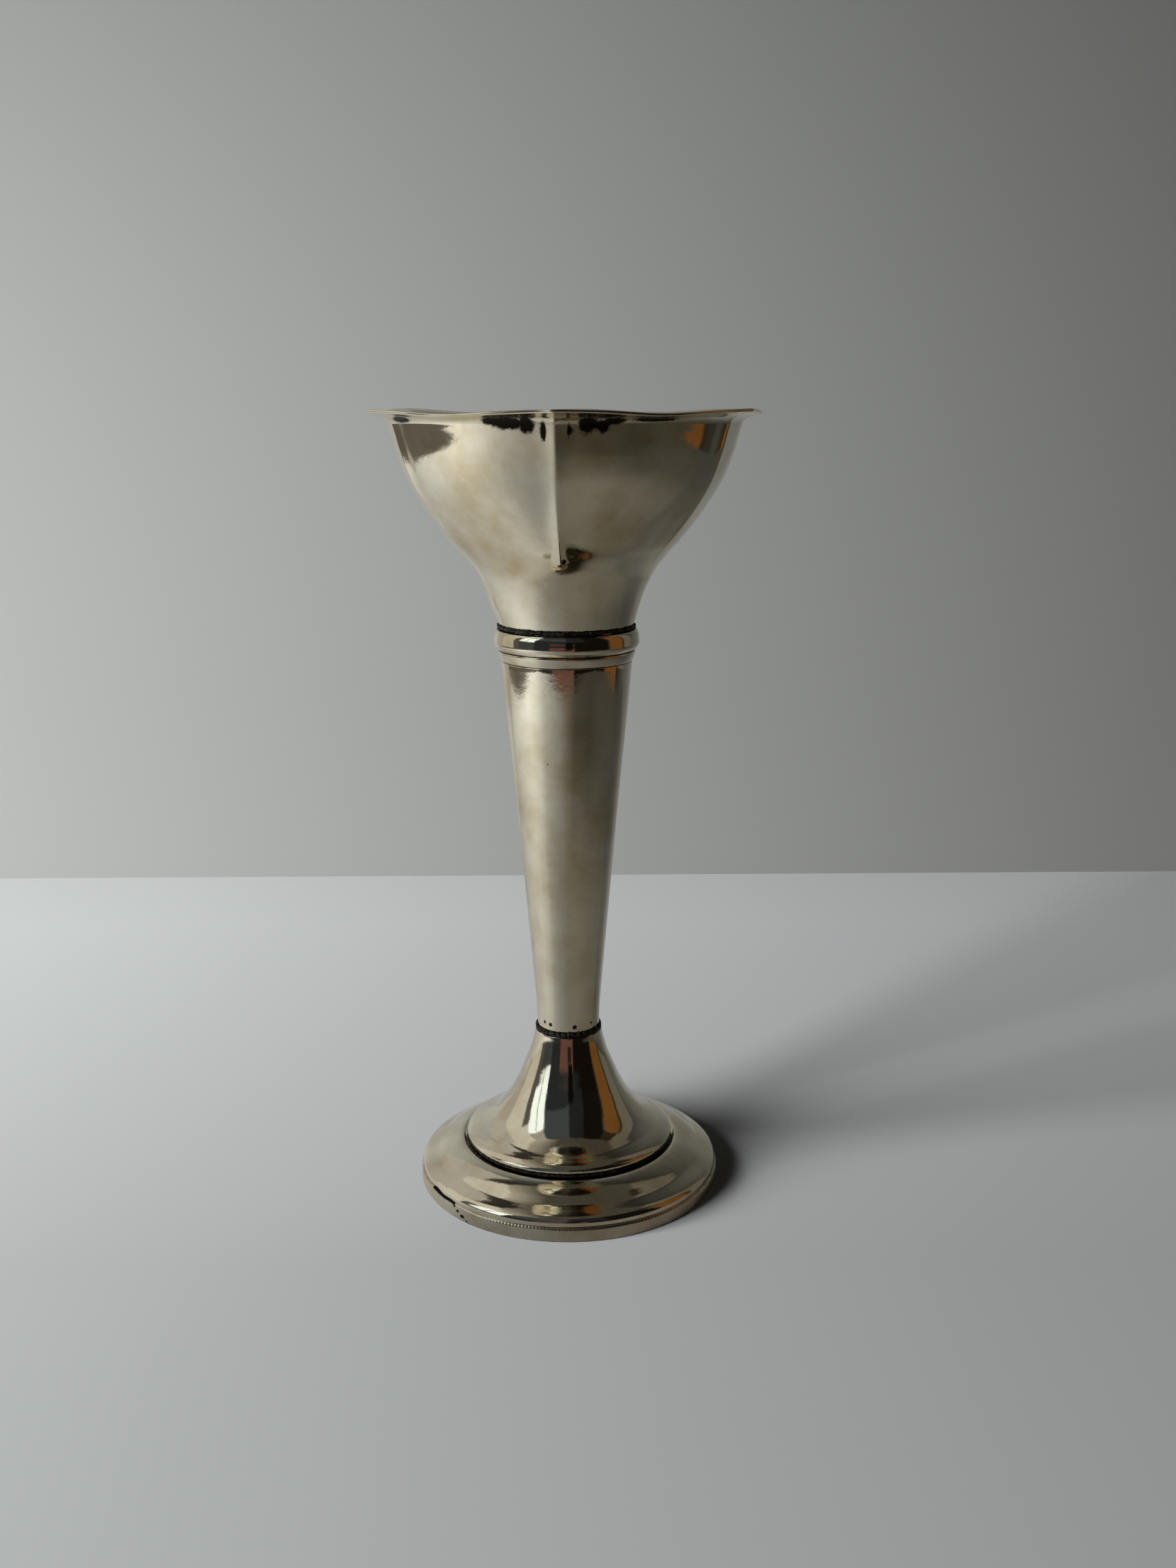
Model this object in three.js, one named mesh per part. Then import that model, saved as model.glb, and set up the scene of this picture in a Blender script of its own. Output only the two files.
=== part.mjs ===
// Silver candlestick: a six-panelled flared bowl soldered on a tapered hollow column,
// which stands on a weighted, stepped round foot with a milled edge.
// Millimetres, +Z up. The origin is the centre of the underside, on the table.
// The side that faces -Y is the front: one bowl ridge stands a few degrees left of it.
import * as THREE from "three";

// ---- driving dimensions ----
const wall = 0.8; // sheet silver of the column and the foot
const bowlWall = 0.7;
const gap = 0.3; // air between neighbouring pieces, filled by solder on the real one

const footRadius = 32.5;
const bandHeight = 3;
const bandWidth = 1.2;
const padHeight = 0.9;
const plateHeight = 0.6;
const undersideRadius = footRadius - bandWidth - gap;

const grooveRadius = 22.4; // solder groove between the bell and the flange
const grooveZ = 9.2;
const seamHeight = 0.5; // height of a solder seam

const bellTopRadius = 7.1;
const columnBottomZ = 34.7;
const columnBottomRadius = 6.65;
const columnTopZ = 114;
const columnTopRadius = 13.5;
const spigotRadius = 12.85; // the column's upper end, which the collar and bowl slip over
const spigotTopZ = 123.5;
const boreStraightZ = 106; // above this the bore is straight, below it follows the cone

const wireRadius = 14.2; // collar: thin wire below, half-round bead above
const wireEdgeRadius = 13.7;
const wireBottomZ = columnTopZ + gap;
const wireTopZ = 116.6;
const beadRadius = 14.9;
const beadEdgeRadius = 13.9;
const beadBottomZ = wireTopZ + gap;
const beadTopZ = 120.7;
const sleeveRadius = spigotRadius + gap; // bore of everything that slips over the spigot

const bowlBottomZ = beadTopZ + gap + seamHeight + gap;
const bowlBottomRadius = 13.9;
const lipZ = 164.5;
const lipRadius = 39.5; // at the middle of a panel; the six corners stand further out

const candleStopZ = 97; // the candle's foot rests here
const candleStopThickness = 1.2;
const candleStopRadius = 10.6;
const rodRadius = 2;
const rodBottomZ = 8.3;

// ---- six panels of the bowl ----
const panels = 6;
const ridgeTurn = THREE.MathUtils.degToRad(-3); // the front ridge, turned from -Y towards -X
const panelBow = 0.36; // centre offset of a panel's arc, as a share of the bowl's radius
const lipBow = 0.2; // extra, which draws the lip out to points
const ridgeStartZ = 127;
const ridgeFullZ = 155;
const lipStartZ = 161.5;
const lipDip = 0.8; // the lip hangs this much lower between two ridges

const roundSegments = 36;
const bowlSegments = 48;

// ---- materials ----
function metal(color, roughness) {
  return new THREE.MeshStandardMaterial({ color, roughness, metalness: 1 });
}

function matt(color, roughness) {
  return new THREE.MeshStandardMaterial({ color, roughness, metalness: 0 });
}

const sheetSilver = metal(0xcfc8b6, 0.18);
const castSilver = metal(0xc2bba8, 0.24);
const milledSilver = metal(0xa89f88, 0.38);
const blackSolder = metal(0x2a2722, 0.6);
const steel = metal(0x6c6a68, 0.45);
const pitch = matt(0x241a12, 0.55);
const greenBaize = matt(0x23402f, 0.95);

const candlestick = new THREE.Group();
candlestick.name = "candlestick";

// ---- shapes ----
// A profile is a list of [radius, height] points on the right of the axis.
function corners(...pairs) {
  return pairs.map(([radius, height]) => new THREE.Vector2(radius, height));
}

// A smooth run through a few points.
function flowing(steps, ...pairs) {
  return new THREE.SplineCurve(corners(...pairs)).getPoints(steps);
}

// The same run moved towards the axis side by a distance, with its lower end still level.
function movedIn(run, distance) {
  return run.map((point, i) => {
    const before = run[Math.max(i - 1, 0)];
    const after = run[Math.min(i + 1, run.length - 1)];
    const along = after.clone().sub(before).normalize();
    if (i === 0) return new THREE.Vector2(point.x - distance / along.y, point.y);
    return new THREE.Vector2(point.x - along.y * distance, point.y + along.x * distance);
  });
}

// A closed sheet: its outer run from bottom to top, then its inner run back down.
function sheetOf(outer, thickness) {
  return [...outer, ...movedIn(outer, thickness).reverse()];
}

function turned(profile, segments = roundSegments) {
  const closes = profile[0].x > 0;
  const points = closes ? [...profile, profile[0].clone()] : profile;
  const geometry = new THREE.LatheGeometry(points, segments, ridgeTurn);
  return geometry.rotateX(Math.PI / 2);
}

function add(name, geometry, material) {
  const mesh = new THREE.Mesh(geometry, material);
  mesh.name = name;
  candlestick.add(mesh);
}

function disc(radius, bottomZ, height) {
  return turned(corners([0, bottomZ], [radius, bottomZ], [radius, bottomZ + height], [0, bottomZ + height]));
}

function ring(innerRadius, outerRadius, bottomZ, height) {
  const topZ = bottomZ + height;
  return turned(
    corners([innerRadius, bottomZ], [outerRadius, bottomZ], [outerRadius, topZ], [innerRadius, topZ]),
  );
}

// A ring with a straight bore and a bulging outside.
function beadRing(innerRadius, edgeRadius, bulgeRadius, bottomZ, topZ) {
  const steps = 4;
  const points = corners([innerRadius, bottomZ]);
  for (let i = 0; i <= steps; i++) {
    const t = i / steps;
    const radius = edgeRadius + (bulgeRadius - edgeRadius) * Math.sin(Math.PI * t);
    points.push(new THREE.Vector2(radius, THREE.MathUtils.lerp(bottomZ, topZ, t)));
  }
  points.push(new THREE.Vector2(innerRadius, topZ));
  return turned(points);
}

// ---- underside: baize pad glued on a thin closing plate ----
const plateBottomZ = padHeight + gap;
const loadingBottomZ = plateBottomZ + plateHeight + gap;
add("baize_pad", disc(undersideRadius, 0, padHeight), greenBaize);
add("base_plate", disc(undersideRadius, plateBottomZ, plateHeight), steel);

// ---- milled band around the foot's edge ----
const bandInnerRadius = footRadius - bandWidth;
add("foot_edge_band", ring(bandInnerRadius, footRadius, 0, bandHeight), milledSilver);

// ---- foot flange: from the groove over a small bead and a cove to a full round edge ----
const flangeEdge = [footRadius - 0.4, bandHeight + gap];
const flangeInnerRadius = 21; // its hidden inner edge, on which the bell is soldered
const flangeRun = [
  ...flowing(7, flangeEdge, [30.5, 5.2], [28, 6.6], [25, 8.1], [23.4, 9.1]),
  ...corners([22.9, 9], [flangeInnerRadius, 8.9]),
];
add("foot_flange", turned(sheetOf(flangeRun, wall)), sheetSilver);

// ---- foot bell: convex shoulder above the groove, then a trumpet up to the neck ----
const bellBottomZ = grooveZ + seamHeight + gap;
const bellTopZ = columnBottomZ - seamHeight - 2 * gap;
const bellRun = flowing(
  11,
  [grooveRadius, bellBottomZ],
  [21.4, 11.2],
  [18.5, 12.8],
  [13.2, 18.1],
  [9.8, 24.9],
  [7.6, 31],
  [bellTopRadius, bellTopZ],
);
add("foot_bell", turned(sheetOf(bellRun, wall)), sheetSilver);

// ---- solder seams ----
const grooveSeamInner = grooveRadius - wall - gap;
add("foot_solder", ring(grooveSeamInner, grooveRadius, grooveZ, seamHeight), blackSolder);
add("column_solder", ring(columnBottomRadius - wall, bellTopRadius, bellTopZ + gap, seamHeight), blackSolder);
add("bowl_solder", ring(sleeveRadius, bowlBottomRadius, beadTopZ + gap, seamHeight), blackSolder);

// ---- weighting: pitch poured into the foot round the lower end of the stem rod ----
const loadingLimitZ = 31.5;
const rodHoleRadius = rodRadius + gap;
const underFlange = movedIn(flangeRun, wall + gap).filter((point) => point.x > flangeInnerRadius);
const underBell = movedIn(bellRun, wall + gap).filter(
  (point) => point.x < flangeInnerRadius - gap && point.y < loadingLimitZ,
);
const loadingTopZ = underBell.at(-1).y;
add(
  "foot_loading",
  turned([
    ...corners([0, loadingBottomZ], [underFlange[0].x, loadingBottomZ]),
    ...underFlange,
    ...corners([flangeInnerRadius - gap, underFlange.at(-1).y]),
    ...underBell,
    ...corners([rodHoleRadius, loadingTopZ], [rodHoleRadius, rodBottomZ - gap], [0, rodBottomZ - gap]),
  ]),
  pitch,
);

// ---- column: seamed sheet tube, a cone that eases into a short straight foot ----
const columnRun = flowing(
  7,
  [columnBottomRadius, columnBottomZ],
  [6.9, 41.4],
  [8.3, 57.5],
  [11.1, 88.7],
  [columnTopRadius, columnTopZ],
);
const columnBore = columnRun.map((point) => new THREE.Vector2(point.x - wall, point.y));
const spigotBore = spigotRadius - wall;
add(
  "column_tube",
  turned([
    ...columnRun,
    ...corners([spigotRadius, columnTopZ], [spigotRadius, spigotTopZ], [spigotBore, spigotTopZ]),
    ...corners([spigotBore, boreStraightZ]),
    ...columnBore.filter((point) => point.y < boreStraightZ - 2 * wall).reverse(),
  ]),
  sheetSilver,
);

// ---- candle stop: disc across the bore, on the end of the stem rod ----
const stopBottomZ = candleStopZ - candleStopThickness;
const rodTopZ = stopBottomZ - gap;
add("candle_stop", disc(candleStopRadius, stopBottomZ, candleStopThickness), castSilver);
add("stem_rod", disc(rodRadius, rodBottomZ, rodTopZ - rodBottomZ), steel);

// ---- collar: thin wire and half-round bead round the spigot ----
add("collar_wire", beadRing(sleeveRadius, wireEdgeRadius, wireRadius, wireBottomZ, wireTopZ), castSilver);
add("collar_bead", beadRing(sleeveRadius, beadEdgeRadius, beadRadius, beadBottomZ, beadTopZ), castSilver);

// ---- bowl: a lathe shape whose wall is then pressed into six bowed panels ----
const bowlRun = [
  ...flowing(
    11,
    [bowlBottomRadius, bowlBottomZ],
    [14.6, 125.5],
    [18.4, 133],
    [26.3, 141.6],
    [32, 150],
    [35, 158.6],
    [36.3, 162.4],
  ),
  ...corners([37.6, 163.3], [lipRadius, lipZ - bowlWall]),
];

function pressPanels(geometry) {
  const span = (2 * Math.PI) / panels;
  const position = geometry.getAttribute("position");
  for (let i = 0; i < position.count; i++) {
    const x = position.getX(i);
    const y = position.getY(i);
    const z = position.getZ(i);
    // Turn from -Y towards +X, measured from the middle of the nearest panel.
    const turn = Math.atan2(x, -y) - ridgeTurn;
    const fromMiddle = THREE.MathUtils.euclideanModulo(turn, span) - span / 2;
    const atLip = THREE.MathUtils.smoothstep(z, lipStartZ, lipZ);
    const offset = panelBow * THREE.MathUtils.smoothstep(z, ridgeStartZ, ridgeFullZ) + lipBow * atLip;
    const sine = offset * Math.sin(fromMiddle);
    const stretch = Math.sqrt((1 + offset) ** 2 - sine ** 2) - offset * Math.cos(fromMiddle);
    const sag = lipDip * atLip * Math.cos(fromMiddle * (Math.PI / span)) ** 2;
    position.setXYZ(i, x * stretch, y * stretch, z - sag);
  }
  return geometry;
}

add("bowl", pressPanels(turned(sheetOf(bowlRun, bowlWall), bowlSegments)), sheetSilver);

export default candlestick;
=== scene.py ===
import math

import bmesh
import bpy
from mathutils import Matrix, Vector, noise


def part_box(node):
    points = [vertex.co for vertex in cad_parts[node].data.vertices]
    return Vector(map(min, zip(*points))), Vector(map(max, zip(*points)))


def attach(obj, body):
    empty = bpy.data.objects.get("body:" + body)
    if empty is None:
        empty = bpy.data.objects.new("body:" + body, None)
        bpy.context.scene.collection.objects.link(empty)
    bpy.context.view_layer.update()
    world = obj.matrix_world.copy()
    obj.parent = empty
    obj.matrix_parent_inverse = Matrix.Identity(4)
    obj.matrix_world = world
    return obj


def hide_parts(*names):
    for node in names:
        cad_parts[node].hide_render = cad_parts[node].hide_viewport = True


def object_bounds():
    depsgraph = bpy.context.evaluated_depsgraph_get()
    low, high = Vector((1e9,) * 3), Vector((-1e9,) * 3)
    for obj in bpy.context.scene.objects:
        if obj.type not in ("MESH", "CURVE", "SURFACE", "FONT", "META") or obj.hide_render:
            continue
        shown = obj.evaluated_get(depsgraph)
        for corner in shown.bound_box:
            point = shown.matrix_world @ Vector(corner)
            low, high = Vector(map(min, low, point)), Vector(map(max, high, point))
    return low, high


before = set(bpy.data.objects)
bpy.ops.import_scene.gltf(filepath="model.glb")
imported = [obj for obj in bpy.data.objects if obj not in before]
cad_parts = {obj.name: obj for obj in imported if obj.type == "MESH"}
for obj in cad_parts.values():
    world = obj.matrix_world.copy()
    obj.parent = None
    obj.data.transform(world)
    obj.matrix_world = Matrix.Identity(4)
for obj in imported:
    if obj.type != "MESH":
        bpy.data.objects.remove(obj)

cad_low, cad_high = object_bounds()


# ---- Foot flange -------------------------------------------------------------
# The lower foot, spun from sheet silver: a bead beside the solder groove, a cove,
# then a full round edge. Its left front was dropped once and is creased there.
MM = 0.001
RIDGE_BEARING = -3  # the bowl's front ridge, in degrees round from the front
FRONT_RIDGE = math.radians(RIDGE_BEARING - 90)  # the same round from +X: every turned piece starts here
SPUN_WALL = 0.8  # thickness of the foot's sheet silver


def flowing(points, steps):
    """A smooth run through a few (radius, height) points, steps between each two."""
    knots = [Vector(p) for p in points]
    knots = [2 * knots[0] - knots[1], *knots, 2 * knots[-1] - knots[-2]]
    run = []
    for a, b, c, d in zip(knots, knots[1:], knots[2:], knots[3:]):
        for i in range(steps):
            t = i / steps
            run.append(0.5 * (2 * b + (c - a) * t + (2 * a - 5 * b + 4 * c - d) * t**2
                              + (3 * b - a - 3 * c + d) * t**3))
    run.append(knots[-2])
    return run


def sheet_outline(outer, wall):
    """Closes an outer run, bottom to top, into sheet metal with rounded edges."""
    normals = []
    for i, point in enumerate(outer):
        along = (outer[min(i + 1, len(outer) - 1)] - outer[max(i - 1, 0)]).normalized()
        normals.append(Vector((along.y, -along.x)))
    inner = [p - n * wall for p, n in zip(outer, normals)]

    def rounded(start, end, outwards, segments=5):
        middle, arm = (start + end) / 2, (start - end) / 2
        reach = outwards * arm.length
        return [middle + arm * math.cos(a) + reach * math.sin(a)
                for a in (math.pi * k / segments for k in range(1, segments))]

    top = Vector((-normals[-1].y, normals[-1].x))
    bottom = Vector((normals[0].y, -normals[0].x))
    return [*outer, *rounded(outer[-1], inner[-1], top),
            *reversed(inner), *rounded(inner[0], outer[0], bottom)]


def turned(outline, turns=240):
    """Spins an outline of (radius, height) in mm; it closes on itself or on the axis."""
    bm = bmesh.new()
    across = Vector((math.cos(FRONT_RIDGE), math.sin(FRONT_RIDGE), 0))
    points = [bm.verts.new((across * r + Vector((0, 0, z))) * MM) for r, z in outline]
    edges = [bm.edges.new(pair) for pair in zip(points, points[1:])]
    if outline[0][0] > 0:
        edges.append(bm.edges.new((points[-1], points[0])))
    # Spun an eighth of the way round, then copied and turned on three times.
    wedge = math.pi / 4
    bmesh.ops.spin(bm, geom=points + edges, cent=(0, 0, 0), axis=(0, 0, 1), angle=wedge,
                   steps=turns // 8)
    for k in range(3):
        half = bmesh.ops.duplicate(bm, geom=bm.verts[:] + bm.edges[:] + bm.faces[:])["geom"]
        bmesh.ops.rotate(bm, verts=[g for g in half if isinstance(g, bmesh.types.BMVert)],
                         cent=(0, 0, 0), matrix=Matrix.Rotation(wedge * 2**k, 3, "Z"))
    bmesh.ops.remove_doubles(bm, verts=bm.verts, dist=2e-6)
    bmesh.ops.recalc_face_normals(bm, faces=bm.faces)
    return bm


def finished(name, bm, material):
    """Makes the piece: smooth shaded, at the origin, with one material."""
    mesh = bpy.data.meshes.new(name)
    bm.to_mesh(mesh)
    bm.free()
    mesh.shade_smooth()
    mesh.materials.append(material)
    piece = bpy.data.objects.new(name, mesh)
    bpy.context.scene.collection.objects.link(piece)
    return piece


def around(co):
    """Degrees round the axis from the front (-Y), positive towards +X."""
    return math.degrees(math.atan2(co.x, -co.y))


def hand_worked(bm, depth, waves):
    """The slight unevenness of hammered sheet: walls shift a little in and out."""
    for v in bm.verts:
        out = Vector((v.co.x, v.co.y, 0)).normalized()
        v.co += out * depth * MM * noise.noise(v.co * waves)


def aged_silver(name, bare, film, polish, film_amount=0.5, spots=()):
    """Old silver: mirror metal under a patchy yellowish film, with hairlines and pits.

    Spots are single black specks: x, y, z and radius in mm.
    """
    material = bpy.data.materials.new(name)
    material.use_nodes = True
    nodes, links = material.node_tree.nodes, material.node_tree.links
    skin = nodes["Principled BSDF"]
    skin.inputs["Metallic"].default_value = 1
    place = nodes.new("ShaderNodeTexCoord").outputs["Object"]

    def cloud(scale, detail, stretch=(1, 1, 1), turn=(0, 0, 0), rough=0.5):
        mapping = nodes.new("ShaderNodeMapping")
        mapping.inputs["Scale"].default_value = stretch
        mapping.inputs["Rotation"].default_value = turn
        links.new(place, mapping.inputs["Vector"])
        texture = nodes.new("ShaderNodeTexNoise")
        texture.inputs["Scale"].default_value = scale
        texture.inputs["Detail"].default_value = detail
        texture.inputs["Roughness"].default_value = rough
        links.new(mapping.outputs["Vector"], texture.inputs["Vector"])
        return texture.outputs["Fac"]

    def ranged(value, low, high, to_low=0.0, to_high=1.0):
        node = nodes.new("ShaderNodeMapRange")
        node.inputs["From Min"].default_value = low
        node.inputs["From Max"].default_value = high
        node.inputs["To Min"].default_value = to_low
        node.inputs["To Max"].default_value = to_high
        links.new(value, node.inputs["Value"])
        return node.outputs["Result"]

    def maths(kind, a, b):
        node = nodes.new("ShaderNodeMath")
        node.operation = kind
        for socket, value in zip(node.inputs, (a, b)):
            if isinstance(value, (int, float)):
                socket.default_value = value
            else:
                links.new(value, socket)
        return node.outputs["Value"]

    def mixed(amount, a, b):
        node = nodes.new("ShaderNodeMix")
        node.data_type = "RGBA"
        links.new(amount, node.inputs["Factor"])
        for socket, value in ((node.inputs["A"], a), (node.inputs["B"], b)):
            if isinstance(value, tuple):
                socket.default_value = (*value, 1)
            else:
                links.new(value, socket)
        return node.outputs["Result"]

    film_mask = ranged(cloud(70, 8, rough=0.62), 0.62 - 0.3 * film_amount, 0.72)
    colour = mixed(film_mask, bare, film)

    # Soot-black where the mesh says so, broken up at its edge: tarnish, and on the bowl a painted
    # reflection at the pinch.
    blackening = nodes.new("ShaderNodeAttribute")
    blackening.attribute_name = "tarnish_and_painted_reflection"
    ragged = maths("ADD", blackening.outputs["Fac"], ranged(cloud(900, 6, rough=0.7), 0, 1, -0.35, 0.35))
    black = ranged(ragged, 0.45, 0.62)
    for x, y, z, radius in spots:
        away = nodes.new("ShaderNodeVectorMath")
        away.operation = "DISTANCE"
        links.new(place, away.inputs[0])
        away.inputs[1].default_value = (x * MM, y * MM, z * MM)
        near = ranged(away.outputs["Value"], radius * MM, 0.6 * radius * MM)
        black = maths("MAXIMUM", black, near)
    colour = mixed(black, colour, (0.022, 0.018, 0.014))
    links.new(colour, skin.inputs["Base Color"])

    hairlines = ranged(cloud(120, 3, (1, 1, 0.03), (0.5, 0.1, 0)), 0.64, 0.72)
    rubbed = ranged(cloud(260, 5, (1, 1, 0.35), (0.15, 0.3, 0.2)), 0.4, 0.75, 0, 0.05)
    roughness = maths("ADD", maths("ADD", rubbed, polish), maths("MULTIPLY", film_mask, 0.06))
    roughness = maths("ADD", roughness, maths("MULTIPLY", hairlines, 0.12))
    roughness = maths("ADD", roughness, maths("MULTIPLY", black, 0.4))
    links.new(roughness, skin.inputs["Roughness"])

    bump = nodes.new("ShaderNodeBump")
    bump.inputs["Strength"].default_value = 0.25
    bump.inputs["Distance"].default_value = 0.00006
    wear = maths("SUBTRACT", cloud(500, 6, rough=0.65), maths("MULTIPLY", hairlines, 0.5))
    links.new(maths("SUBTRACT", wear, maths("MULTIPLY", black, 0.8)), bump.inputs["Height"])
    links.new(bump.outputs["Normal"], skin.inputs["Normal"])
    return material


def blackened(piece, amount_at):
    """Stores how black the silver is at each vertex, from 0 to 1."""
    mask = piece.data.attributes.new("tarnish_and_painted_reflection", "FLOAT", "POINT")
    mask.data.foreach_set("value", [amount_at(v.co / MM) for v in piece.data.vertices])


sheet_silver = aged_silver("sheet_silver", (0.83, 0.76, 0.61), (0.61, 0.51, 0.34), 0.035)

flange_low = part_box("foot_flange")[0] / MM
foot_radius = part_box("foot_edge_band")[1].x / MM + 0.03
flange_run = flowing([(foot_radius - 0.35, flange_low.z + 0.1), (32.1, 4.1), (31.75, 4.7),
                      (31.3, 5.07), (30.6, 5.45), (29.6, 5.93), (28.8, 6.34), (28, 6.9), (27, 7.6),
                      (25.6, 8.38), (24.2, 8.97), (23.3, 9.13), (22.7, 8.95), (21.2, 8.8)], 6)
bm = turned(sheet_outline(flange_run, SPUN_WALL), 288)
hand_worked(bm, 0.05, 60)
crease_bearing, crease_spread, crease_radius = -58, 17, 28
for v in bm.verts:
    turn, radius = around(v.co), math.hypot(v.co.x, v.co.y) / MM
    at_edge = max(0, min(1, (radius - crease_radius) / 4))
    crease = math.exp(-((turn - crease_bearing) / crease_spread) ** 2) * at_edge
    v.co.z -= 0.3 * MM * crease * (0.7 + noise.noise(v.co * 230))
    v.co.xy *= 1 - 0.006 * crease * (0.8 + noise.noise(v.co * 260))
foot_flange = finished("foot_flange_sheet", bm, sheet_silver)
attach(foot_flange, "root")
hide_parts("foot_flange")


# ---- Foot edge band ----------------------------------------------------------
# A strip of milled wire soldered round the edge of the foot. Its fine upright
# reeds are worn nearly flat at the front and full of tarnish between.
REEDS = 272
REED_DEPTH = 0.0042  # as a share of the foot's radius
band_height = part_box("foot_edge_band")[1].z / MM
milled_silver = aged_silver("milled_silver", (0.74, 0.68, 0.54), (0.46, 0.38, 0.25), 0.22, 0.8)
band_top, band_inside = band_height + 0.12, 31.3
band_outline = [(band_inside, 0.25), (31.55, 0), (32.2, 0), (foot_radius - 0.1, 0.18),
                (foot_radius, 0.5), (foot_radius, 1.2), (foot_radius, 1.9), (foot_radius, 2.6),
                (foot_radius - 0.12, band_height - 0.05), (32.1, band_top), (31.5, band_top),
                (band_inside, band_height - 0.1)]
bm = turned(band_outline, REEDS * 4)
for v in bm.verts:
    radius, height = math.hypot(v.co.x, v.co.y) / MM, v.co.z / MM
    if radius > 32.3:
        worn = 0.55 + 0.45 * noise.noise(v.co * 55)
        groove = 0.5 - 0.5 * math.cos(math.radians(around(v.co)) * REEDS)
        v.co.xy *= 1 - REED_DEPTH * worn * groove
    wobble = 0.16 * noise.noise(v.co * 170) if height > 1.5 else 0
    v.co.z += wobble * MM
foot_band = finished("foot_band_milled", bm, milled_silver)


def band_tarnish(p):
    """Black along both edges, and in the crack where the strip's ends part at the left front."""
    turn = around(p)
    crack = -49 + 9 * (1 - p.z / band_height) + 1.2 * noise.noise(p * 0.9)
    top_amount = 0.75 if -64 < turn < -48 else 0.42
    edges = 0.5 * (p.z < 0.35) + top_amount * (p.z > 2.75)
    return max(edges, 1.1 - abs(turn - crack) / 1.1)


blackened(foot_band, band_tarnish)
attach(foot_band, "root")
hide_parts("foot_edge_band")


# ---- Foot bell ---------------------------------------------------------------
# The upper foot: a trumpet spun from one disc, swelling to a round shoulder that
# stops short of the flange at the solder groove.
bell_low, bell_high = (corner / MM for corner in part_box("foot_bell"))
bell_run = flowing([(bell_high.x, bell_low.z), (22.2, 10.6), (21.3, 11.35), (20, 12.05),
                    (18.5, 12.85), (16, 14.7), (13.2, 18.1), (11.3, 21.5), (9.8, 24.9), (8.4, 28.4),
                    (7.5, 31.6), (7.1, bell_high.z)], 8)
bm = turned(sheet_outline(bell_run, SPUN_WALL))
hand_worked(bm, 0.06, 70)
foot_bell = finished("foot_bell_sheet", bm, sheet_silver)
blackened(foot_bell, lambda p: 0.62 * max(0, 1 - (p.z - bell_low.z) / 0.5)
          + 0.5 * max(0, 1 - (bell_high.z - p.z) / 0.5))
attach(foot_bell, "root")
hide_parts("foot_bell")


# ---- Solder seams ------------------------------------------------------------
# Three runs of hard solder join the pieces. They were never cleaned up, so they
# stand a little proud, ragged along both edges and black with tarnish.
def mottled(name, scale, detail, dark, light, roughness, metallic=0.0, bump=None):
    """A rough material in two tones, clouded by fine noise.

    Dark and light are each (position on the ramp, colour), and bump is (strength, distance).
    """
    material = bpy.data.materials.new(name)
    material.use_nodes = True
    nodes, links = material.node_tree.nodes, material.node_tree.links
    skin = nodes["Principled BSDF"]
    skin.inputs["Metallic"].default_value = metallic
    skin.inputs["Roughness"].default_value = roughness
    grain = nodes.new("ShaderNodeTexNoise")
    grain.inputs["Scale"].default_value = scale
    grain.inputs["Detail"].default_value = detail
    links.new(nodes.new("ShaderNodeTexCoord").outputs["Object"], grain.inputs["Vector"])
    tone = nodes.new("ShaderNodeValToRGB")
    for stop, (position, colour) in zip(tone.color_ramp.elements, (dark, light)):
        stop.position = position
        stop.color = (*colour, 1)
    links.new(grain.outputs["Fac"], tone.inputs["Fac"])
    links.new(tone.outputs["Color"], skin.inputs["Base Color"])
    if bump:
        relief = nodes.new("ShaderNodeBump")
        relief.inputs["Strength"].default_value, relief.inputs["Distance"].default_value = bump
        links.new(grain.outputs["Fac"], relief.inputs["Height"])
        links.new(relief.outputs["Normal"], skin.inputs["Normal"])
    return material


black_solder = mottled("black_solder", 1400, 5, (0.45, (0.006, 0.005, 0.004)),
                       (0.8, (0.09, 0.075, 0.055)), 0.5, 0.6, (0.6, 0.0001))


def solder_run(name, radius, low, high, depth, rag, seed):
    """A ragged ring of solder from low to high, as proud of the joint as its depth."""
    middle = (low + high) / 2
    bm = turned([(radius - 0.9, low), (radius - 0.1, low), (radius + depth, middle - 0.1),
                 (radius + depth, middle + 0.1), (radius - 0.1, high), (radius - 0.9, high)], 360)
    for v in bm.verts:
        turn = math.radians(around(v.co))
        bite = noise.noise(Vector((math.sin(turn) * 9, math.cos(turn) * 9, seed)))
        fleck = noise.noise(Vector((math.sin(turn) * 40, math.cos(turn) * 40, seed)))
        side = 1 if v.co.z / MM > middle else -0.6
        v.co.z += side * rag * MM * (0.35 + bite + 0.6 * fleck)
        from_axis = math.hypot(v.co.x, v.co.y)
        if from_axis / MM > radius:
            v.co.xy *= 1 + 0.12 * MM / from_axis * (bite + fleck)
    piece = finished(name, bm, black_solder)
    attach(piece, "root")
    return piece


groove_low, groove_high = (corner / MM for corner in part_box("foot_solder"))
foot_solder = solder_run("foot_solder_run", groove_high.x - 0.1, groove_low.z - 0.1,
                         groove_high.z, 0.0, 0.1, 3.1)
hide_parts("foot_solder")
neck_low, neck_high = (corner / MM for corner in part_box("column_solder"))
column_solder = solder_run("column_solder_run", 7.0, neck_low.z - 0.2, neck_high.z + 0.25,
                           0.1, 0.34, 7.7)
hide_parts("column_solder")
mouth_low, mouth_high = (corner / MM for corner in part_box("bowl_solder"))
bowl_solder = solder_run("bowl_solder_run", 13.95, mouth_low.z - 0.05, mouth_high.z,
                         0.22, 0.3, 12.9)
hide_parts("bowl_solder")


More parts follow.
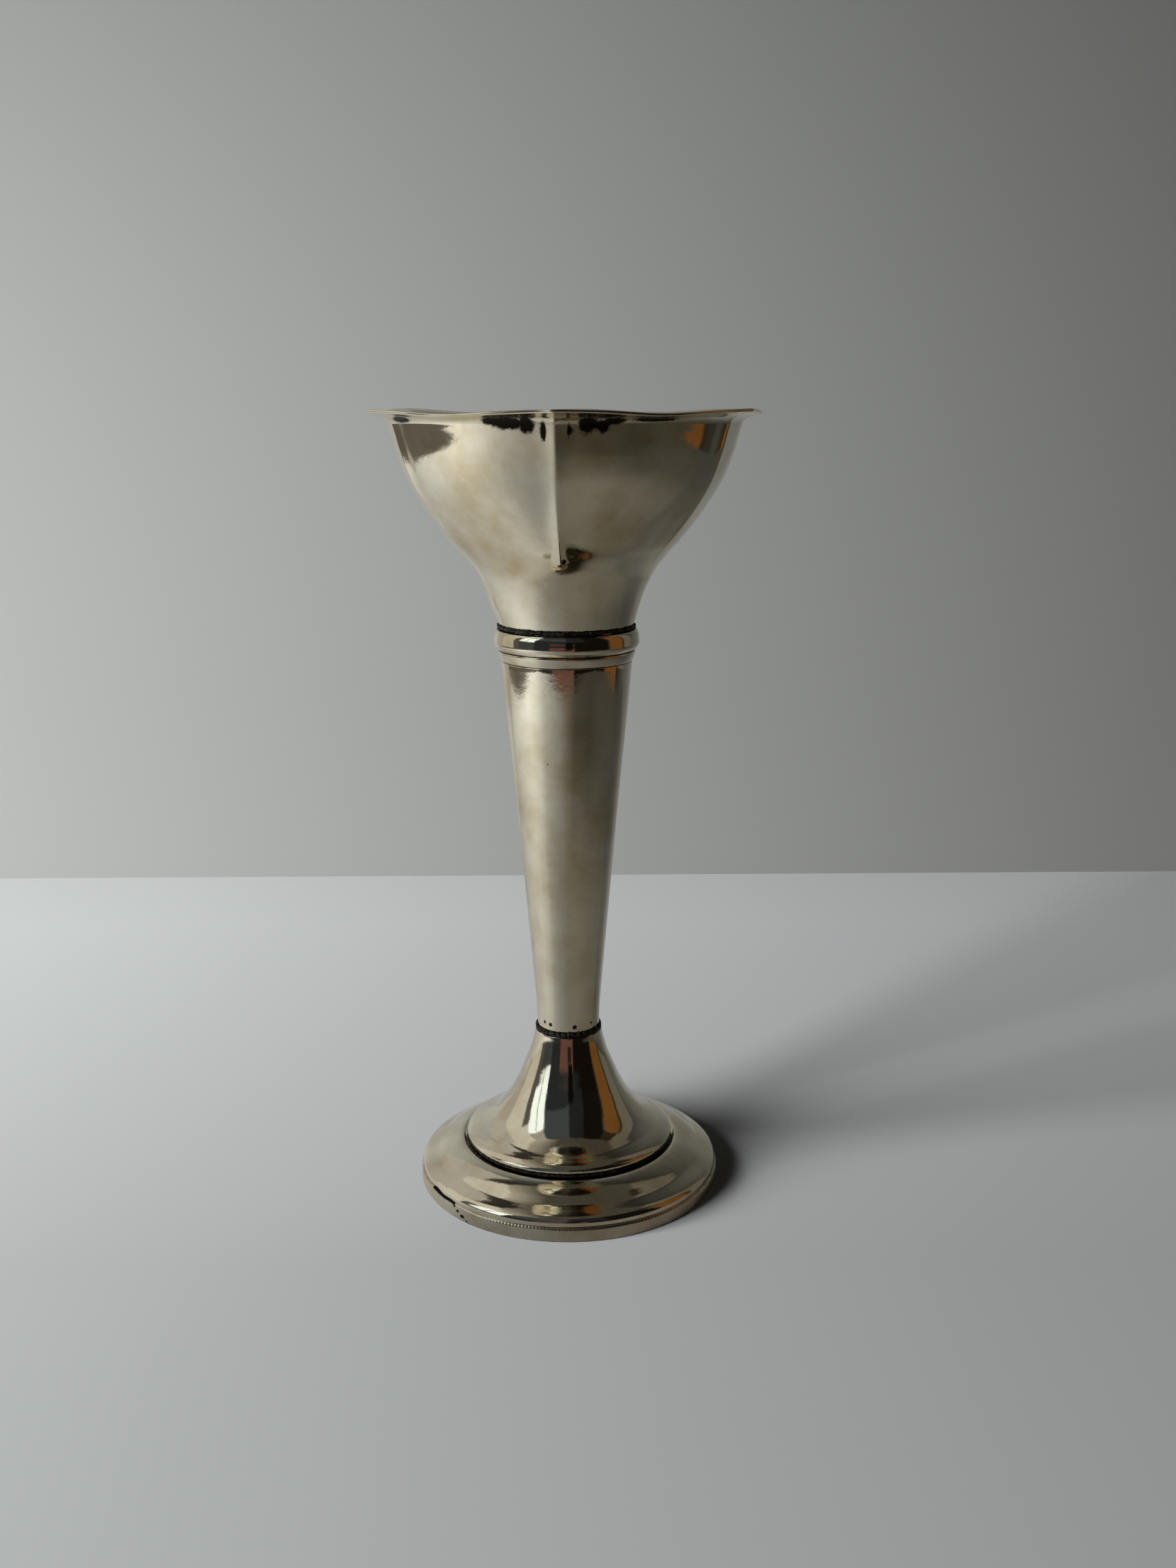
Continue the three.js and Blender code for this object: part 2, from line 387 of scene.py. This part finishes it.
# ---- Column ------------------------------------------------------------------
# A tapered tube rolled from sheet and seamed at the back. Its head is drawn in to
# a spigot, over which the collar and the bowl slip.
column_low, column_high = (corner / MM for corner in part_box("column_tube"))
shoulder_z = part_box("collar_wire")[0].z / MM - 0.3
spigot_radius, bore_radius, column_wall = 12.85, 12.05, 0.8
bore_end = 106  # below this the bore follows the cone
column_run = flowing([(6.65, column_low.z), (6.72, 38), (6.95, 41.4), (8.3, 57.5), (9.7, 73.3),
                      (11.1, 88.7), (12.6, 104), (column_high.x, shoulder_z)], 12)
column_head = [(column_high.x, shoulder_z + 0.05), (13.3, shoulder_z + 0.2),
               (spigot_radius, shoulder_z + 0.2), (spigot_radius, 119),
               (spigot_radius, column_high.z - 0.2), (spigot_radius - 0.2, column_high.z),
               (bore_radius, column_high.z), (bore_radius, 115), (bore_radius, bore_end)]
column_bore = [p - Vector((column_wall, 0)) for p in reversed(column_run) if p.y < bore_end - 2]
column_outline = [*column_run, *map(Vector, column_head), *column_bore]
bm = turned(column_outline, 192)
hand_worked(bm, 0.05, 45)
column_spots = [(-4.2, -12.2, 108.9, 0.16), (-3.9, -10.9, 94.5, 0.2), (3.3, -11, 93.6, 0.14),
                (5.6, -8.3, 88.8, 0.22), (2.1, -6.9, 60.8, 0.12), (-5.2, -4.4, 36.4, 0.5),
                (-3.9, -5.5, 36.2, 0.55), (1.3, -6.6, 36.0, 0.6), (4.8, -4.6, 36.3, 0.35)]
column_silver = aged_silver("column_silver", (0.83, 0.76, 0.60), (0.61, 0.51, 0.33), 0.03, 0.55,
                            column_spots)
column = finished("column_sheet", bm, column_silver)
blackened(column, lambda p: 0.45 * max(0, 1 - abs(p.z - column_low.z) / 1.2))
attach(column, "root")
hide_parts("column_tube")


# ---- Stem rod and candle stop ------------------------------------------------
# A steel rod set in the foot stiffens the thin column and carries a small cast
# disc across the bore, on which the candle stands. Both are hidden inside.
rod_low, rod_high = (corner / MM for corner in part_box("stem_rod"))
steel = mottled("dull_steel", 300, 6, (0.35, (0.16, 0.11, 0.08)), (0.6, (0.42, 0.41, 0.40)), 0.45, 1)
rod = finished("stem_rod_steel", turned(
    [(0, rod_low.z), (1.7, rod_low.z), (2, rod_low.z + 0.3), (2, rod_high.z - 0.3),
     (1.7, rod_high.z), (0, rod_high.z)], 32), steel)
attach(rod, "root")
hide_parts("stem_rod")

stop_low, stop_high = (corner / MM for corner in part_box("candle_stop"))
stop_radius = 10.6
cast_silver = aged_silver("cast_silver", (0.80, 0.73, 0.58), (0.50, 0.41, 0.25), 0.04, 0.6)
dish_z = stop_high.z - 0.15
candle_stop = finished("candle_stop_disc", turned(
    [(0, stop_low.z), (stop_radius - 0.2, stop_low.z), (stop_radius, stop_low.z + 0.2),
     (stop_radius, stop_high.z - 0.2), (stop_radius - 0.2, stop_high.z), (9.2, stop_high.z),
     (8.9, dish_z), (1.2, dish_z), (0, dish_z)], 96), cast_silver)
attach(candle_stop, "root")
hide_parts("candle_stop")


# ---- Collar ------------------------------------------------------------------
# Two turned rings slipped over the spigot: a thin wire at the head of the column
# and a half-round bead above it, soldered with a dark line between them.
collar_bore = spigot_radius + 0.3
bead_low, bead_high = (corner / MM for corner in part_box("collar_bead"))
wire_low, wire_high = (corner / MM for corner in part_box("collar_wire"))
bead_bottom = bead_low.z - 0.4
bead_run = flowing([(collar_bore + 0.1, bead_bottom), (13.9, bead_bottom),
                    (14.35, bead_bottom + 0.35), (14.8, bead_bottom + 0.9),
                    (bead_high.x + 0.1, bead_bottom + 1.6), (bead_high.x, bead_bottom + 2.6),
                    (14.75, bead_bottom + 3.4), (14.45, bead_high.z - 0.22),
                    (14.1, bead_high.z), (collar_bore + 0.1, bead_high.z)], 6)
bm = turned([*bead_run, Vector((collar_bore, bead_high.z - 0.2)),
             Vector((collar_bore, bead_bottom + 0.2))])
hand_worked(bm, 0.05, 80)
collar_bead = finished("collar_bead_ring", bm, cast_silver)
blackened(collar_bead, lambda p: 0.6 * max(0, 1 - abs(p.z - bead_high.z) / 0.35)
          + 0.45 * max(0, 1 - abs(p.z - bead_bottom) / 0.3))
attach(collar_bead, "root")
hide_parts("collar_bead")

wire_top = bead_bottom - 0.08
wire_run = flowing([(collar_bore + 0.1, wire_low.z), (13.45, wire_low.z),
                    (13.68, wire_low.z + 0.25), (13.95, wire_low.z + 1.0),
                    (wire_high.x - 0.03, wire_top - 0.35), (14.1, wire_top - 0.08),
                    (13.9, wire_top), (collar_bore + 0.1, wire_top)], 6)
bm = turned([*wire_run, Vector((collar_bore, wire_top - 0.2)),
             Vector((collar_bore, wire_low.z + 0.2))])
hand_worked(bm, 0.05, 80)
collar_wire = finished("collar_wire_ring", bm, cast_silver)
blackened(collar_wire, lambda p: 0.5 * max(0, 1 - abs(p.z - wire_top) / 0.3))
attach(collar_wire, "root")
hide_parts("collar_wire")


# ---- Bowl --------------------------------------------------------------------
# Raised from sheet and pressed into six bowed panels that meet in ridges, with a
# thin lip turned out over them. The front ridge ends in a pinch above the neck.
PANEL = 60  # degrees from ridge to ridge
BOWL_WALL = 0.7
BOW_STARTS, BOW_FULL, LIP_STARTS = 127, 150, 161.5  # heights in mm
bowl_low, bowl_high = (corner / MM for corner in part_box("bowl"))
lip_radius = bowl_high.x
bowl_run = flowing([(13.85, bowl_low.z), (14.52, 124.2), (15.12, 126.2), (15.93, 128.4),
                    (16.95, 130.6), (18.2, 132.8), (20.85, 136.0), (23.65, 139.05),
                    (28.15, 144.6), (31.8, 150.2), (34.05, 155.6), (35.55, 160.6),
                    (36.15, 162.3), (37.1, 163.2), (lip_radius - 0.35, bowl_high.z - 0.72)], 10)
bm = turned(sheet_outline(bowl_run, BOWL_WALL), 288)


def eased(value, low, high):
    """From 0 at low to 1 at high, with a soft start and end."""
    t = max(0.0, min(1.0, (value - low) / (high - low)))
    return t * t * (3 - 2 * t)


def bowed(offset, from_middle):
    """How far out a panel's arc stands when its centre lies off the axis by offset."""
    aside = offset * math.sin(from_middle)
    return math.sqrt((1 + offset) ** 2 - aside ** 2) - offset * math.cos(from_middle)


for v in bm.verts:
    height = v.co.z / MM
    ridge = PANEL * round((around(v.co) - RIDGE_BEARING) / PANEL)
    from_ridge = around(v.co) - RIDGE_BEARING - ridge
    # Columns of the mesh crowd towards the ridges.
    from_ridge = math.copysign(PANEL / 2 * (abs(from_ridge) * 2 / PANEL) ** 1.3, from_ridge)
    radius, bearing = math.hypot(v.co.x, v.co.y), math.radians(ridge + RIDGE_BEARING + from_ridge)
    v.co.x, v.co.y = radius * math.sin(bearing), -radius * math.cos(bearing)
    from_middle = math.radians(PANEL / 2 - abs(from_ridge))
    at_lip = eased(height, LIP_STARTS, bowl_high.z)
    at_panel = eased(height, BOW_STARTS, BOW_FULL)
    # The two front panels are nearly round, the others flatter; all meet at the same ridges.
    front_panel = ridge == 0 or (abs(ridge) == PANEL and from_ridge * ridge < 0)
    offset = (0.05 if front_panel else 0.3) * at_panel + 0.35 * at_lip
    stretch = bowed(offset, from_middle) / bowed(offset, math.radians(PANEL / 2))
    stretch *= bowed(0.1 * at_panel + 0.35 * at_lip, math.radians(PANEL / 2))
    # Each ridge is drawn up into a crest: how far out, how many degrees wide, how sharp.
    crest, spread, power = (0.85, 9, 3) if ridge == 0 else (0.4, 5, 3) if front_panel else (0.4, 10, 2)
    near_ridge = max(0, 1 - math.hypot(from_ridge, 0.4) / spread)
    pushed = crest * near_ridge ** power * eased(height, 132.5, 147)
    # The neck stands out a little further on its left side than on its right.
    on_left = max(0, 1 - abs(around(v.co) + 88) / 55)
    pushed += 0.6 * on_left * eased(height, 122, 126) * (1 - eased(height, 138, 150))
    if ridge == 0 and height < 150:
        # The front ridge ends in a sharp pinch.
        aside = math.radians(from_ridge) * radius / MM
        width = 0.6 + 0.4 * (1 - eased(height, 135, 139))
        pushed += 0.5 * width * math.exp(-(aside / width) ** 2) * eased(height, 134.6, 135.8) * (
            1 - eased(height, 140, 143))
    v.co.xy *= stretch + pushed * MM / radius
    v.co.z -= 0.8 * MM * at_lip * math.cos(from_middle * math.pi / math.radians(PANEL)) ** 2
    v.co.z += MM * at_lip * (0.2 * noise.noise(v.co * 75) - 0.12)
hand_worked(bm, 0.12, 38)
bowl_silver = aged_silver("bowl_silver", (0.83, 0.76, 0.60), (0.59, 0.48, 0.29), 0.035, 0.6)
bowl = finished("bowl_sheet", bm, bowl_silver)
# Tarnish left under the lip, and a painted dark reflection at the pinch: bearing, height, half width in
# degrees, half height.
bowl_stains_and_painted_reflection = [(-16.5, 161.9, 6.5, 1.5), (-11, 161.6, 3, 1.9), (-21, 162.2, 4, 0.9),
               (-6.2, 160.5, 1.1, 2.2), (1.2, 160.7, 1.0, 1.8), (6.2, 161.6, 3.6, 2.1),
               (10.5, 161.3, 2.6, 1.5), (14, 162.2, 4, 0.8), (26, 162.4, 9, 0.5),
               # The mark at the pinch paints in the dark reflection of the foot.
               (-56, 162.4, 6, 0.7), (-1.2, 136.1, 1.6, 0.8)]


def bowl_tarnish_and_painted_reflection(p):
    """Blackest in the middle of each mark (the tarnish, and the painted reflection at the pinch), with
    a dark line where the solder meets the bowl.
    """
    turn = around(p)
    deepest = min(math.hypot((turn - bearing) / half_width, (p.z - height) / half_height)
                  for bearing, height, half_width, half_height in bowl_stains_and_painted_reflection)
    return max(min(0.95, 0.62 * (1.65 - deepest)), 0.5 - 0.5 * abs(p.z - bowl_low.z) / 0.6, 0)


blackened(bowl, bowl_tarnish_and_painted_reflection)
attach(bowl, "root")
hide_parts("bowl")


# ---- Loading, base plate and baize -------------------------------------------
# The hollow foot is filled with pitch, closed with a thin steel plate and finished
# with a disc of green baize, glued on, which is what stands on the table.
pitch = mottled("pitch", 220, 7, (0, (0.012, 0.008, 0.005)), (1, (0.11, 0.075, 0.045)), 0.5)
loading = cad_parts["foot_loading"]
loading.data.materials.clear()
loading.data.materials.append(pitch)

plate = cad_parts["base_plate"]
plate.data.materials.clear()
plate.data.materials.append(steel)

baize = mottled("green_baize", 1800, 4, (0.3, (0.02, 0.06, 0.03)), (0.7, (0.07, 0.17, 0.10)), 0.95,
                bump=(0.7, 0.0003))
baize.node_tree.nodes["Principled BSDF"].inputs["Sheen Weight"].default_value = 0.4
pad_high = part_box("baize_pad")[1] / MM
pad_radius = pad_high.x
bm = turned([(0, 0), (pad_radius - 0.25, 0), (pad_radius, 0.2), (pad_radius, pad_high.z - 0.15),
             (pad_radius - 0.15, pad_high.z), (0, pad_high.z)], 192)
pad = finished("baize_disc", bm, baize)
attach(pad, "root")
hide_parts("baize_pad")


# ---- Table, room and light ---------------------------------------------------
# A pale cloth-covered table against a wall, both with painted light and shade, in a dim room
# with one window at the left front. The room is on glowing cards, which are seen only in the silver.
def stage_material(name, glow=0.0):
    """A plain surface, matt or glowing; hands back the socket that takes its colour."""
    material = bpy.data.materials.new(name)
    material.use_nodes = True
    skin = material.node_tree.nodes["Principled BSDF"]
    skin.inputs["Roughness"].default_value = 0.95
    skin.inputs["Specular IOR Level"].default_value = 0.0 if glow else 0.15
    if glow:
        skin.inputs["Base Color"].default_value = (0, 0, 0, 1)
        skin.inputs["Emission Strength"].default_value = glow
    return material, skin.inputs["Emission Color" if glow else "Base Color"]


def by_bearing(material, tones):
    """A tone that changes with the bearing: each is (degrees round from the front, colour)."""
    nodes, links = material.node_tree.nodes, material.node_tree.links
    turn = nodes.new("ShaderNodeMapping")
    turn.inputs["Rotation"].default_value = (0, 0, math.pi / 2)
    links.new(nodes.new("ShaderNodeTexCoord").outputs["Object"], turn.inputs["Vector"])
    bearing = nodes.new("ShaderNodeTexGradient")
    bearing.gradient_type = "RADIAL"
    links.new(turn.outputs["Vector"], bearing.inputs["Vector"])
    ramp = nodes.new("ShaderNodeValToRGB")
    stops = ramp.color_ramp.elements
    while len(stops) < len(tones):
        stops.new(0.5)
    for stop, (degrees, colour) in zip(stops, tones):
        stop.position = (degrees + 180) / 360
        stop.color = (*colour, 1)
    links.new(bearing.outputs["Fac"], ramp.inputs["Fac"])
    return ramp.outputs["Color"]


def card(name, corners, material, camera=False, silver=True, light=False):
    """A flat sheet of the stage, seen by the camera, in the silver or by the bounced light."""
    bm = bmesh.new()
    bm.faces.new([bm.verts.new(corner) for corner in corners])
    mesh = bpy.data.meshes.new(name)
    bm.to_mesh(mesh)
    bm.free()
    mesh.materials.append(material)
    panel = bpy.data.objects.new(name, mesh)
    bpy.context.scene.collection.objects.link(panel)
    panel.visible_camera, panel.visible_glossy, panel.visible_diffuse = camera, silver, light
    panel.visible_shadow = panel.visible_transmission = False


def lit_across(material, socket, colour, slopes):
    """Fades a colour along axes, painting light and shade into it: each slope is (axis, start, end,
    factor at start, at end).
    """
    nodes, links = material.node_tree.nodes, material.node_tree.links
    split = nodes.new("ShaderNodeSeparateXYZ")
    links.new(nodes.new("ShaderNodeTexCoord").outputs["Object"], split.inputs["Vector"])
    tone = colour
    for axis, start, end, factor_start, factor_end in slopes:
        part = nodes.new("ShaderNodeMapRange")
        for name, value in (("From Min", start), ("From Max", end),
                            ("To Min", factor_start), ("To Max", factor_end)):
            part.inputs[name].default_value = value
        links.new(split.outputs[axis], part.inputs["Value"])
        scaled = nodes.new("ShaderNodeVectorMath")
        scaled.operation = "SCALE"
        links.new(part.outputs["Result"], scaled.inputs["Scale"])
        if isinstance(tone, tuple):
            scaled.inputs[0].default_value = tone
        else:
            links.new(tone, scaled.inputs[0])
        tone = scaled.outputs["Vector"]
    links.new(tone, socket)


REACH = 4  # metres that floor and wall run on
FAR_EDGE = 0.225  # where the table ends behind the candlestick
WALL_Y = 0.6
cloth, cloth_tone = stage_material("pale_cloth")
# Painted light and shade in the cloth: lighter to the left and towards the back, darker far out to the
# left by the lamps.
lit_across(cloth, cloth_tone, (0.70, 0.71, 0.69), [
    ("X", -0.15, 0.15, 1.06, 0.88), ("Y", -0.04, 0.17, 0.85, 1.25), ("X", -0.9, -0.25, 0.3, 1.0)])
cloth.node_tree.nodes["Principled BSDF"].inputs["Sheen Weight"].default_value = 0.5
card("floor", [(-REACH, -REACH, 0), (REACH, -REACH, 0), (REACH, FAR_EDGE, 0), (-REACH, FAR_EDGE, 0)],
     cloth, camera=True, silver=False)

# The same cloth as the silver sees it, with painted light and shade in its colour: bright towards the
# window, dark in front where the photographer's shadow falls, and darker to the right behind along the
# candlestick's shadow.
seen_cloth, seen_tone = stage_material("cloth_in_silver_painted_light")
near = by_bearing(seen_cloth, [
    (-180, (0.62,) * 3), (-125, (0.80,) * 3), (-80, (0.86,) * 3), (-60, (0.72,) * 3),
    (-46, (0.50,) * 3), (-30, (0.39,) * 3), (-14, (0.33,) * 3), (0, (0.31, 0.29, 0.26)),
    (30, (0.32, 0.30, 0.27)), (90, (0.27, 0.26, 0.23)), (122, (0.31,) * 3), (140, (0.52,) * 3),
    (180, (0.62,) * 3)])
far = by_bearing(seen_cloth, [
    (-180, (0.62,) * 3), (-125, (0.80,) * 3), (-76, (0.92,) * 3), (-58, (0.74,) * 3),
    (-43, (0.49,) * 3), (-28, (0.40,) * 3), (-14, (0.33,) * 3), (0, (0.22, 0.20, 0.17)),
    (14, (0.12, 0.11, 0.09)), (44, (0.12, 0.11, 0.09)), (64, (0.17, 0.16, 0.14)),
    (95, (0.19, 0.18, 0.16)), (122, (0.25,) * 3), (140, (0.46,) * 3), (180, (0.62,) * 3)])
cloth_nodes, cloth_links = seen_cloth.node_tree.nodes, seen_cloth.node_tree.links
length = cloth_nodes.new("ShaderNodeVectorMath")
length.operation = "LENGTH"
cloth_links.new(cloth_nodes.new("ShaderNodeTexCoord").outputs["Object"], length.inputs[0])
fade = cloth_nodes.new("ShaderNodeMapRange")
fade.interpolation_type = "SMOOTHSTEP"
fade.inputs["From Min"].default_value, fade.inputs["From Max"].default_value = 0.13, 0.26
cloth_links.new(length.outputs["Value"], fade.inputs["Value"])
blend = cloth_nodes.new("ShaderNodeMix")
blend.data_type = "RGBA"
cloth_links.new(fade.outputs["Result"], blend.inputs["Factor"])
cloth_links.new(near, blend.inputs["A"])
cloth_links.new(far, blend.inputs["B"])
cloth_links.new(blend.outputs["Result"], seen_tone)
card("table_top", [(x, y, 0) for x, y in (
    (-0.385, FAR_EDGE), (-0.362, 0.02), (-0.352, -0.14), (-0.32, -0.26), (-0.14, -0.30),
    (0.07, -0.315), (0.34, -0.29), (0.38, -0.05), (0.385, FAR_EDGE))], seen_cloth, light=True)

wall, wall_tone = stage_material("wall_with_painted_light")
# Painted light on the wall: lighter to the left and towards the bottom.
lit_across(wall, wall_tone, (0.50, 0.50, 0.48), [
    ("X", -0.35, 0.35, 1.28, 0.80), ("Z", -0.1, 0.38, 1.25, 0.75)])
card("wall", [(-REACH, WALL_Y, -0.5), (REACH, WALL_Y, -0.5), (REACH, WALL_Y, REACH),
              (-REACH, WALL_Y, REACH)], wall, camera=True, light=True)

# Plain walls on the other sides of the table, for whoever walks round it.
ROOM = 1.1
far_wall, far_wall_tone = stage_material("far_wall", 0.36)
far_wall_tone.default_value = (0.93, 0.93, 0.90, 1)
for side, start, end in (("left", (-ROOM, WALL_Y), (-ROOM, -ROOM)),
                         ("right", (ROOM, -ROOM), (ROOM, WALL_Y)),
                         ("front", (-ROOM, -ROOM), (ROOM, -ROOM))):
    card("far_wall_" + side, [(*start, -1), (*end, -1), (*end, REACH), (*start, REACH)], far_wall,
         camera=True, silver=False)

# The room in the silver. Each card has its left and right bearing, its low and high angle
# above the table, its colour and glow, and how much nearer than the others it stands.
DISTANCE = 1.3
EYE = 0.1  # height in metres that those angles are taken from
for name, (left, right, low_edge, high_edge, colour, glow, step_in) in {
    "room_front_left": (-52, 0, 26, 62, (0.74, 0.88, 1.0), 0.070, 0),
    "front_left_low": (-52, 0, -30, 26, (0.76, 0.88, 1.0), 0.030, 0),
    "room_front": (0, 30, 14, 62, (0.78, 0.90, 1.0), 0.020, 0),
    "front_low": (0, 68, -30, 14, (1.0, 0.85, 0.65), 0.006, 0),
    "room_front_right": (30, 68, 14, 62, (1.0, 0.85, 0.65), 0.007, 0),
    "wood": (71, 97, -30, 44, (1.0, 0.44, 0.12), 0.15, 0),
    "door_edge": (97, 101, -30, 44, (1.0, 0.6, 0.3), 0.03, 0),
    "room_over_wood": (68, 97, 44, 62, (1.0, 0.80, 0.55), 0.025, 0),
    "room_right": (97, 152, -12, 62, (1.0, 0.93, 0.76), 0.13, -0.05),
    "window": (-80, -52, 9, 46, (0.84, 0.95, 1.0), 1.30, 0),
    "window_sill": (-80, -52, -12, 9, (0.76, 0.88, 1.0), 0.07, 0),
    "window_bar": (-67, -65.5, 9, 46, (0.9, 0.9, 0.9), 0.25, 0.05),
    "window_post": (-91, -80, -12, 35, (1.0, 0.95, 0.85), 0.10, 0),
    "post_head": (-91, -80, 35, 62, (1.0, 0.98, 0.90), 0.60, 0),
    "window_head": (-80, -52, 46, 62, (1.0, 0.98, 0.90), 0.34, 0),
    "curtain": (-132, -91, -8, 62, (1.0, 0.98, 0.90), 0.60, 0),
    "under_window": (-132, -52, -32, -7, (1.0, 0.95, 0.88), 0.13, 0.1),
}.items():
    material, tone = stage_material(name, glow)
    tone.default_value = (*colour, 1)
    reach = DISTANCE - step_in
    corners = []
    for bearing, height in ((left, low_edge), (right, low_edge), (right, high_edge), (left, high_edge)):
        a = math.radians(bearing)
        rise = reach * math.tan(math.radians(height))
        corners.append((reach * math.sin(a), -reach * math.cos(a), EYE + rise))
    card(name, corners, material)
material, tone = stage_material("wall_by_window", 0.44)
tone.default_value = (1.0, 0.98, 0.92, 1)
card("wall_by_window", [(-1.5, 0.58, -0.3), (-0.5, 0.58, -0.3), (-0.5, 0.58, 1.4),
                        (-1.5, 0.58, 1.4)], material)
# Close in front, warm and dark cards: left, right, low and high edge, how far in front of it.
for name, left, right, low_edge, high_edge, depth, colour, glow in (
        ("hands", -0.165, 0.075, -0.02, 0.150, 0.345, (1.0, 0.50, 0.42), 0.13),
        ("hands_gap", -0.02, 0.045, 0.05, 0.105, 0.342, (1.0, 0.6, 0.5), 0.02),
        ("camera_back", -0.01, 0.060, 0.11, 0.20, 0.340, (1.0, 1.0, 1.0), 0.004)):
    material, tone = stage_material(name, glow)
    tone.default_value = (*colour, 1)
    card(name, [(left, -depth, low_edge), (right, -depth, low_edge), (right, -depth, high_edge),
                (left, -depth, high_edge)], material)
material, tone = stage_material("ceiling", 0.07)
lit_across(material, tone, (1.0, 0.95, 0.80), [("X", -1.25, -0.45, 6.0, 0.9)])
CEILING_Z = 2.4
card("ceiling", [(-3, -3, CEILING_Z), (3, -3, CEILING_Z), (3, WALL_Y, CEILING_Z),
                 (-3, WALL_Y, CEILING_Z)], material)

for pane, turn in (("left", -70), ("right", -50)):
    angle = math.radians(turn)
    light = bpy.data.lights.new("window_" + pane, "AREA")
    light.shape = "RECTANGLE"
    light.size, light.size_y = 0.30, 0.50
    light.energy = 8
    light.color = (0.95, 0.98, 1.0)
    lamp = bpy.data.objects.new("window_" + pane, light)
    bpy.context.scene.collection.objects.link(lamp)
    lamp.location = (math.sin(angle), -math.cos(angle), 0.42)
    lamp.rotation_euler = (math.radians(70), 0, angle)
    lamp.visible_camera = lamp.visible_glossy = False

room = bpy.data.worlds.new("room")
room.use_nodes = True
room.node_tree.nodes["Background"].inputs["Color"].default_value = (0.03, 0.028, 0.024, 1)
bpy.context.scene.world = room
bpy.context.scene.view_settings.view_transform = "Standard"


# ---- Camera ------------------------------------------------------------------
# Level with the lip, 320 mm from the axis, looking a little down on the foot.
FROM_AXIS = 0.320
PITCH, YAW, ROLL = 13.48, 0.776, -0.13  # degrees
camera = bpy.data.objects.new("camera", bpy.data.cameras.new("camera"))
bpy.context.scene.collection.objects.link(camera)
camera.data.sensor_width = 36
camera.data.lens = 36.05
camera.data.clip_start = 0.01
camera.location = (0, -FROM_AXIS, cad_high.z)
camera.rotation_mode = "QUATERNION"
aim = (Matrix.Rotation(math.radians(-YAW), 3, "Z")
       @ Matrix.Rotation(math.radians(90 - PITCH), 3, "X")
       @ Matrix.Rotation(math.radians(ROLL), 3, "Z"))
camera.rotation_quaternion = aim.to_quaternion()
bpy.context.scene.camera = camera
